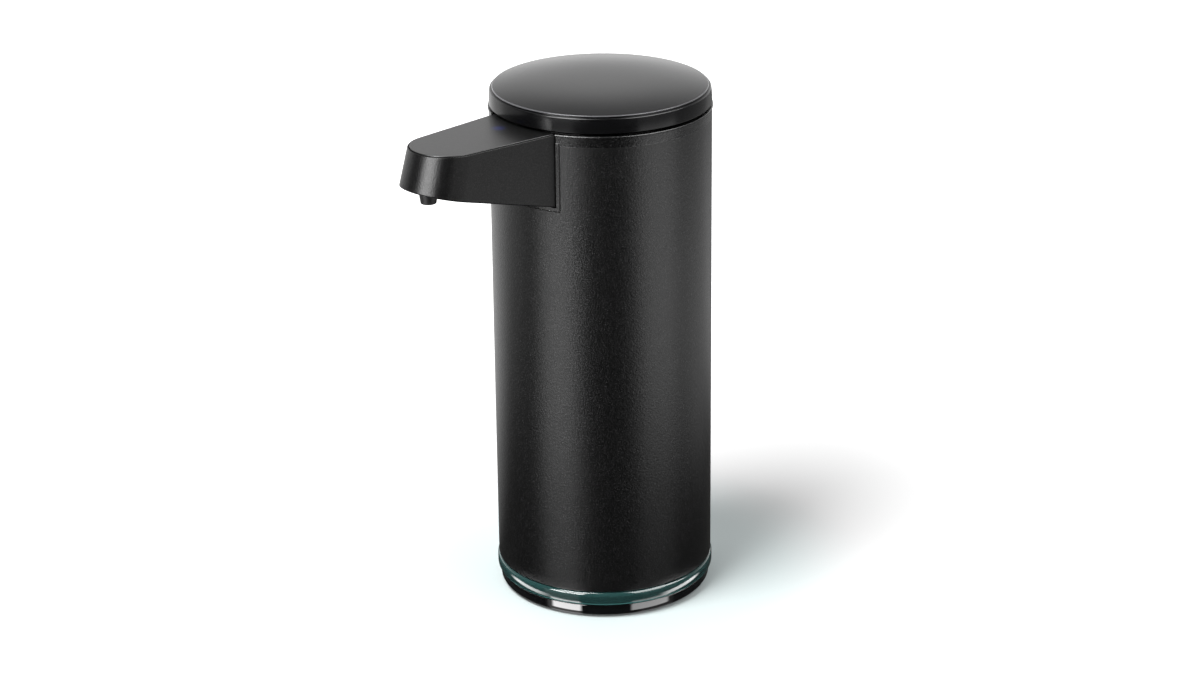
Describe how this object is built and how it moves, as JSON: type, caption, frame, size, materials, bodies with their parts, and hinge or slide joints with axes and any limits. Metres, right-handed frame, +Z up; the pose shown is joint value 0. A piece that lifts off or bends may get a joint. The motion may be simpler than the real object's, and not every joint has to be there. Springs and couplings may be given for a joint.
{
  "type": "automatic soap dispenser",
  "caption": "Free-standing touch-free soap dispenser: black steel tube on a clear reservoir, wedge spout with nozzle, lift-off lid, gear pump inside.",
  "frame": {"origin": "centre of the round face that it stands on, on the tube's axis", "axes": "+Z up along the tube; -Y is the way the spout points; +X is to the right of someone who looks along +Y"},
  "size_m": [0.0762, 0.1209, 0.1826],
  "materials": {
    "powder_coat": "black powder coat with a fine even grain",
    "trim_coat": "the same satin black, smoother",
    "head_plastic": "satin black",
    "cover_plastic": "satin black, lets the status light through",
    "lid_plastic": "semi-gloss black",
    "base_plastic": "gloss black",
    "clear_plastic": "clear with a blue-green tint",
    "inner_plastic": "natural grey moulding",
    "pad_rubber": "dark non-slip rubber",
    "nozzle_rubber": "black silicone rubber",
    "silicone": "translucent white silicone",
    "dark_lens": "near-black infrared filter",
    "light_blue": "blue indicator",
    "board_green": "green circuit board",
    "steel": "bright zinc-plated steel",
    "motor_can": "plated motor can",
    "brass": "machined brass",
    "cell_wrap": "blue sleeve round a metal can",
    "red_wrap": "red insulation",
    "black_wrap": "black insulation"
  },
  "bodies": {
    "dispenser": {"foot_pad": "pad_rubber", "base_foot": "base_plastic", "reservoir": "clear_plastic", "steel_sleeve": "powder_coat", "collar_trim": "trim_coat", "head_floor": "inner_plastic", "head_chassis": "inner_plastic", "reservoir_seal": "pad_rubber", "top_deck": "head_plastic", "fill_funnel": "inner_plastic", "spout_shell": "head_plastic", "spout_cover": "cover_plastic", "nozzle": "nozzle_rubber", "sensor_window": "dark_lens", "ir_emitter": "dark_lens", "ir_receiver": "dark_lens", "sensor_board": "board_green", "touch_board": "board_green", "status_led": "light_blue", "pump_housing": "inner_plastic", "pump_cover": "inner_plastic", "driven_pin": "steel", "motor_case": "motor_can", "outlet_hose": "silicone", "intake_tube": "silicone", "strainer": "inner_plastic", "battery_cell": "cell_wrap", "main_board": "board_green", "usb_port": "steel", "port_surround": "head_plastic", "door_pin": "steel", "deck_screw_1": "steel", "deck_screw_2": "steel", "deck_screw_3": "steel", "deck_screw_4": "steel", "spout_screw_left": "steel", "spout_screw_right": "steel", "pump_screw_1": "steel", "pump_screw_2": "steel", "pump_screw_3": "steel", "pump_screw_4": "steel", "board_screw_lower": "steel", "board_screw_upper": "steel", "motor_lead_black": "black_wrap", "motor_lead_red": "red_wrap", "cell_lead_black": "black_wrap", "cell_lead_red": "red_wrap", "touch_cable": "black_wrap", "sensor_cable": "black_wrap"},
    "lid_body": {"lid": "lid_plastic", "fill_plug": "silicone"},
    "motor_rotor": {"motor_shaft": "steel", "drive_gear": "brass"},
    "driven_rotor": {"driven_gear": "brass"},
    "door": {"charge_door": "head_plastic"}
  },
  "joints": [
    {"name": "lid_lift", "type": "slide", "parent": "dispenser", "child": "lid_body", "axis": [0, 0, 1], "range_m": [0, 0.045]},
    {"name": "motor_spin", "type": "hinge", "parent": "dispenser", "child": "motor_rotor", "pos_m": [-0.01351, -0.014, 0.1047], "axis": [0, 0, 1], "continuous": true},
    {"name": "driven_spin", "type": "hinge", "parent": "dispenser", "child": "driven_rotor", "pos_m": [-0.00501, -0.014, 0.1047], "axis": [0, 0, 1], "continuous": true},
    {"name": "door_hinge", "type": "hinge", "parent": "dispenser", "child": "door", "pos_m": [0, 0.0371, 0.1258], "axis": [-1, 0, 0], "range_deg": [0, 95]}
  ],
  "couplings": [
    {"joint": "driven_spin", "follows": "motor_spin", "ratio": -1}
  ]
}
